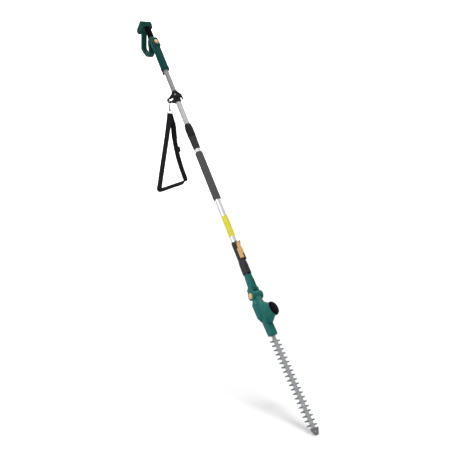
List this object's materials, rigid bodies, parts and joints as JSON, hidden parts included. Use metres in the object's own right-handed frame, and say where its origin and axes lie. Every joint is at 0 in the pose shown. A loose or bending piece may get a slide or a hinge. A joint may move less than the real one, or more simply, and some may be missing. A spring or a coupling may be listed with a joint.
{
  "type": "telescopic pole hedge trimmer",
  "caption": "Cordless telescopic pole hedge trimmer: tilting double-blade head, clip-on neck, sliding pole, foam grip, rear D-handle with battery and a hanging shoulder strap.",
  "frame": {"origin": "middle of the foam front grip, on the pole's axis", "axes": "+Z plumb up; the pole leans 36.87 degrees from plumb towards -X as it goes up from the blade tip to the handle; +X horizontal, on the side of the tool's top face; Y is the tool's left-right width"},
  "size_m": [1.4007, 0.1714, 1.7478],
  "materials": {
    "tube": "satin anodised",
    "foam": "closed-cell foam",
    "label": "plain yellow sticker",
    "black_plastic": "fine texture",
    "collet": "smooth",
    "steel": "plain",
    "socket": "smooth",
    "cable": "coiled",
    "gold_plastic": "satin champagne gold",
    "glide": "smooth",
    "dark_green": "fine texture",
    "green": "satin",
    "soft_grip": "soft-touch",
    "board": "circuit board",
    "switch": "plain",
    "cells": "shrink film",
    "brass": "plated",
    "motor_can": "zinc plated",
    "blade_steel": "ground",
    "guard_grey": "fine texture",
    "chrome_wire": "bright",
    "webbing": "woven",
    "plate": "cast"
  },
  "bodies": {
    "lower_pole": {"lower_tube": "tube", "foam_grip": "foam", "caution_label": "label", "lock_socket": "black_plastic", "lock_collet": "collet", "lock_screw": "steel", "coupling_sleeve": "black_plastic", "contact_socket": "socket", "latch_pin": "steel", "curly_lead": "cable"},
    "twist_nut": {"lock_nut": "black_plastic"},
    "latch": {"latch_lever": "gold_plastic"},
    "mid_pole": {"mid_tube": "tube", "mid_glide": "glide", "strap_clamp": "black_plastic", "clamp_bolt": "steel"},
    "clamp_handle": {"clamp_lever": "black_plastic"},
    "top_pole": {"top_tube": "tube", "top_glide": "glide", "handle_left": "dark_green", "handle_right": "dark_green", "grip_sleeve": "soft_grip", "handle_screws": "steel", "control_board": "board", "power_switch": "switch", "battery_contacts": "socket"},
    "trigger_key": {"trigger": "black_plastic"},
    "lock_off": {"lock_off_button": "gold_plastic"},
    "battery": {"battery_case": "dark_green", "battery_cells": "cells"},
    "battery_catch": {"battery_latch": "black_plastic"},
    "neck": {"neck_shell": "green", "neck_spigot": "black_plastic", "contact_pins": "brass", "knuckle_stop": "black_plastic", "pivot_bolt": "steel"},
    "tilt_button": {"pivot_button": "gold_plastic"},
    "head": {"head_left": "green", "head_right": "green", "head_screws": "steel", "gearbox_plate": "plate", "motor": "motor_can", "motor_cap": "black_plastic", "crank_bearings": "steel", "blade_bar": "blade_steel", "blade_bolts": "blade_steel", "tip_guard": "guard_grey"},
    "motor_pinion": {"pinion": "steel"},
    "crank": {"crank_gear": "steel"},
    "blade_a": {"upper_blade": "blade_steel"},
    "blade_b": {"lower_blade": "blade_steel"},
    "hook": {"snap_hook": "steel"},
    "gate": {"hook_gate": "steel"},
    "strap": {"strap_ring": "chrome_wire", "strap_web": "webbing", "strap_slider": "black_plastic"}
  },
  "joints": [
    {"name": "twist_nut_turn", "type": "hinge", "parent": "lower_pole", "child": "twist_nut", "pos_m": [-0.1548, 0, 0.2064], "axis": [-0.6, 0, 0.8], "range_deg": [-180, 180]},
    {"name": "latch_lift", "type": "hinge", "parent": "lower_pole", "child": "latch", "pos_m": [0.2352, 0, -0.2786], "axis": [0, 1, 0], "range_deg": [-80, 0]},
    {"name": "mid_pole_slide", "type": "slide", "parent": "lower_pole", "child": "mid_pole", "axis": [-0.6, 0, 0.8], "range_m": [-0.11, 0.3]},
    {"name": "clamp_lever_turn", "type": "hinge", "parent": "mid_pole", "child": "clamp_handle", "pos_m": [-0.26636, 0.016, 0.38148], "axis": [0, 1, 0], "range_deg": [-90, 0]},
    {"name": "top_pole_slide", "type": "slide", "parent": "mid_pole", "child": "top_pole", "axis": [-0.6, 0, 0.8], "range_m": [-0.11, 0.28]},
    {"name": "trigger_squeeze", "type": "slide", "parent": "top_pole", "child": "trigger_key", "axis": [0.8, 0, 0.6], "range_m": [0, 0.005], "stiffness_N_per_m": 600},
    {"name": "lock_off_press", "type": "slide", "parent": "top_pole", "child": "lock_off", "axis": [-0.8, 0, -0.6], "range_m": [0, 0.0028], "stiffness_N_per_m": 600},
    {"name": "battery_slide_off", "type": "slide", "parent": "top_pole", "child": "battery", "axis": [-0.8, 0, -0.6], "range_m": [0, 0.12]},
    {"name": "battery_catch_press", "type": "slide", "parent": "battery", "child": "battery_catch", "axis": [0.8, 0, 0.6], "range_m": [0, 0.002], "stiffness_N_per_m": 600},
    {"name": "neck_draw_off", "type": "slide", "parent": "lower_pole", "child": "neck", "axis": [0.6, 0, -0.8], "range_m": [0, 0.11]},
    {"name": "tilt_button_press", "type": "slide", "parent": "neck", "child": "tilt_button", "axis": [0, 1, 0], "range_m": [0, 0.0025], "stiffness_N_per_m": 600},
    {"name": "head_tilt", "type": "hinge", "parent": "neck", "child": "head", "pos_m": [0.3654, 0, -0.4972], "axis": [0, 1, 0], "range_deg": [-45, 90]},
    {"name": "crank_turn", "type": "hinge", "parent": "head", "child": "crank", "pos_m": [0.45368, 0, -0.57858], "axis": [0.7697, 0, 0.6384], "continuous": true},
    {"name": "pinion_turn", "type": "hinge", "parent": "head", "child": "motor_pinion", "pos_m": [0.43836, 0, -0.56011], "axis": [0.7697, 0, 0.6384], "continuous": true},
    {"name": "upper_blade_stroke", "type": "slide", "parent": "head", "child": "blade_a", "axis": [-0.6384, 0, 0.7697], "range_m": [-0.007, 0.007]},
    {"name": "lower_blade_stroke", "type": "slide", "parent": "head", "child": "blade_b", "axis": [-0.6384, 0, 0.7697], "range_m": [-0.007, 0.007]},
    {"name": "hook_swing", "type": "hinge", "parent": "mid_pole", "child": "hook", "pos_m": [-0.29302, -0.02823, 0.34364], "axis": [0.7809, 0.6247, 0], "range_deg": [-25, 25]},
    {"name": "gate_open", "type": "hinge", "parent": "hook", "child": "gate", "pos_m": [-0.29525, -0.02543, 0.33124], "axis": [0.7809, 0.6247, 0], "range_deg": [0, 10], "stiffness_Nm_per_rad": 0.05},
    {"name": "strap_swivel", "type": "hinge", "parent": "hook", "child": "strap", "pos_m": [-0.29302, -0.02823, 0.30764], "axis": [0, 0, 1], "range_deg": [-120, 120]}
  ],
  "couplings": [
    {"joint": "pinion_turn", "follows": "crank_turn", "ratio": -5},
    {"joint": "lower_blade_stroke", "follows": "upper_blade_stroke", "ratio": -1}
  ]
}
